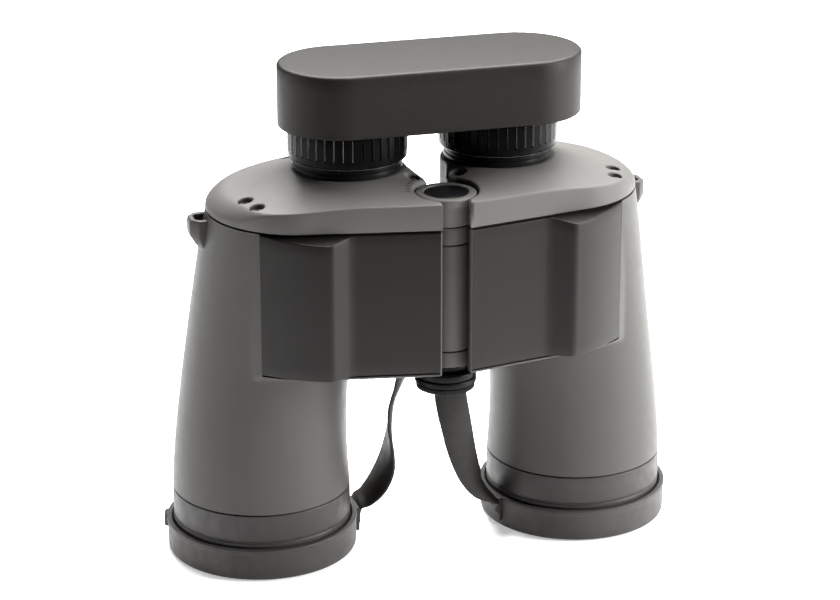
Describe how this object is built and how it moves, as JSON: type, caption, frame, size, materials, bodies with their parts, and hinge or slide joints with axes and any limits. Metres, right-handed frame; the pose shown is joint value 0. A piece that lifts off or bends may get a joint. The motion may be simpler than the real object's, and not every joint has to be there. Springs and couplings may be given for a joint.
{
  "type": "binoculars",
  "caption": "Porro prism binoculars on a centre hinge, with rubber grip panels, individual focusing rings, objective caps on straps and a one-piece rain guard.",
  "frame": {"origin": "centre of the bounding box, on the surface the capped objective ends stand on", "axes": "+X from the left barrel to the right, -Y towards the side with the grip panels and the hinge, +Z from the objectives up to the eyepieces"},
  "size_m": [0.198, 0.0832, 0.1869],
  "materials": {
    "body_grey": "satin mid-grey paint on a cast aluminium barrel",
    "cover_grey": "satin light warm-grey paint on a cast aluminium cover",
    "grip_rubber": "very dark charcoal semi-matte rubber",
    "black_anodised": "black anodised aluminium, low sheen",
    "focus_black": "black satin enamel on a fluted aluminium ring",
    "screw_black": "black oxide steel, cross recess",
    "seal_rubber": "black rubber seal",
    "cap_rubber": "soft dark grey rubber, fine matte surface",
    "eyecup_rubber": "soft black rubber",
    "guard_shell": "matte dark grey moulded rubber with a fine grain",
    "disc_black": "black disc with a fine engraved scale",
    "coated_glass": "optical glass, green-violet coating",
    "bare_aluminium": "machined",
    "spring_steel": "ground steel",
    "socket_brass": "turned brass"
  },
  "bodies": {
    "left_barrel": {"left_body_shell": "body_grey", "left_strap_lug": "body_grey", "left_top_cover": "cover_grey", "left_cover_gasket": "seal_rubber", "left_cover_screws": "screw_black", "left_grip_panel": "grip_rubber", "left_objective_ring": "black_anodised", "left_objective_cell": "black_anodised", "left_crown_lens": "coated_glass", "left_flint_lens": "coated_glass", "left_lens_retainer": "black_anodised", "left_prism_plate": "bare_aluminium", "left_first_prism": "coated_glass", "left_second_prism": "coated_glass", "left_prism_clips": "spring_steel", "left_ocular_housing": "black_anodised", "left_strap_eye": "cap_rubber", "left_cap_strap": "cap_rubber", "hinge_bushes": "socket_brass", "hinge_washers": "black_anodised"},
    "right_barrel": {"right_body_shell": "body_grey", "right_strap_lug": "body_grey", "right_top_cover": "cover_grey", "right_cover_gasket": "seal_rubber", "right_cover_screws": "screw_black", "right_grip_panel": "grip_rubber", "right_objective_ring": "black_anodised", "right_objective_cell": "black_anodised", "right_crown_lens": "coated_glass", "right_flint_lens": "coated_glass", "right_lens_retainer": "black_anodised", "right_prism_plate": "bare_aluminium", "right_first_prism": "coated_glass", "right_second_prism": "coated_glass", "right_prism_clips": "spring_steel", "right_ocular_housing": "black_anodised", "right_strap_eye": "cap_rubber", "right_cap_strap": "cap_rubber", "hinge_shaft": "spring_steel", "hinge_head": "cover_grey", "hinge_disc": "disc_black", "hinge_nut": "black_anodised", "strap_retainer": "black_anodised", "tripod_socket": "socket_brass"},
    "left_focus": {"left_focus_ring": "focus_black"},
    "left_ocular": {"left_ocular_tube": "black_anodised", "left_field_lens": "coated_glass", "left_eye_lens": "coated_glass"},
    "left_eyecup": {"left_eyecup": "eyecup_rubber"},
    "left_cap": {"left_objective_cap": "cap_rubber"},
    "right_focus": {"right_focus_ring": "focus_black"},
    "right_ocular": {"right_ocular_tube": "black_anodised", "right_field_lens": "coated_glass", "right_eye_lens": "coated_glass"},
    "right_eyecup": {"right_eyecup": "eyecup_rubber"},
    "right_cap": {"right_objective_cap": "cap_rubber"},
    "rain_guard": {"rain_guard": "guard_shell"}
  },
  "joints": [
    {"name": "ipd_hinge", "type": "hinge", "parent": "left_barrel", "child": "right_barrel", "pos_m": [0, -0.0279, 0.105], "axis": [0, 0, -1], "range_deg": [-2, 29.5]},
    {"name": "left_focus_turn", "type": "hinge", "parent": "left_barrel", "child": "left_focus", "pos_m": [-0.0285, 0.0013, 0.157], "axis": [0, 0, 1], "range_deg": [-125, 125]},
    {"name": "left_ocular_slide", "type": "slide", "parent": "left_barrel", "child": "left_ocular", "axis": [0, 0, 1], "range_m": [-0.0025, 0.0025]},
    {"name": "left_cap_pull", "type": "slide", "parent": "left_barrel", "child": "left_cap", "axis": [0, 0, -1], "range_m": [0, 0.014], "deforming": ["left_cap_strap"]},
    {"name": "right_focus_turn", "type": "hinge", "parent": "right_barrel", "child": "right_focus", "pos_m": [0.0285, 0.0013, 0.157], "axis": [0, 0, 1], "range_deg": [-125, 125]},
    {"name": "right_ocular_slide", "type": "slide", "parent": "right_barrel", "child": "right_ocular", "axis": [0, 0, 1], "range_m": [-0.0025, 0.0025]},
    {"name": "right_cap_pull", "type": "slide", "parent": "right_barrel", "child": "right_cap", "axis": [0, 0, -1], "range_m": [0, 0.014], "deforming": ["right_cap_strap"]},
    {"name": "left_eyecup_turn", "type": "hinge", "parent": "left_barrel", "child": "left_eyecup", "pos_m": [-0.0285, 0.0013, 0.172], "axis": [0, 0, -1], "range_deg": [-1.1, 14.9]},
    {"name": "right_eyecup_turn", "type": "hinge", "parent": "right_barrel", "child": "right_eyecup", "pos_m": [0.0285, 0.0013, 0.172], "axis": [0, 0, -1], "range_deg": [-180, 180]},
    {"name": "guard_lift", "type": "slide", "parent": "left_eyecup", "child": "rain_guard", "axis": [0, 0, 1], "range_m": [0, 0.045]}
  ],
  "couplings": [
    {"joint": "left_ocular_slide", "follows": "left_focus_turn", "m_per_rad": 0.001145},
    {"joint": "right_ocular_slide", "follows": "right_focus_turn", "m_per_rad": 0.001145},
    {"joint": "left_eyecup_turn", "follows": "ipd_hinge", "ratio": 0.5}
  ]
}
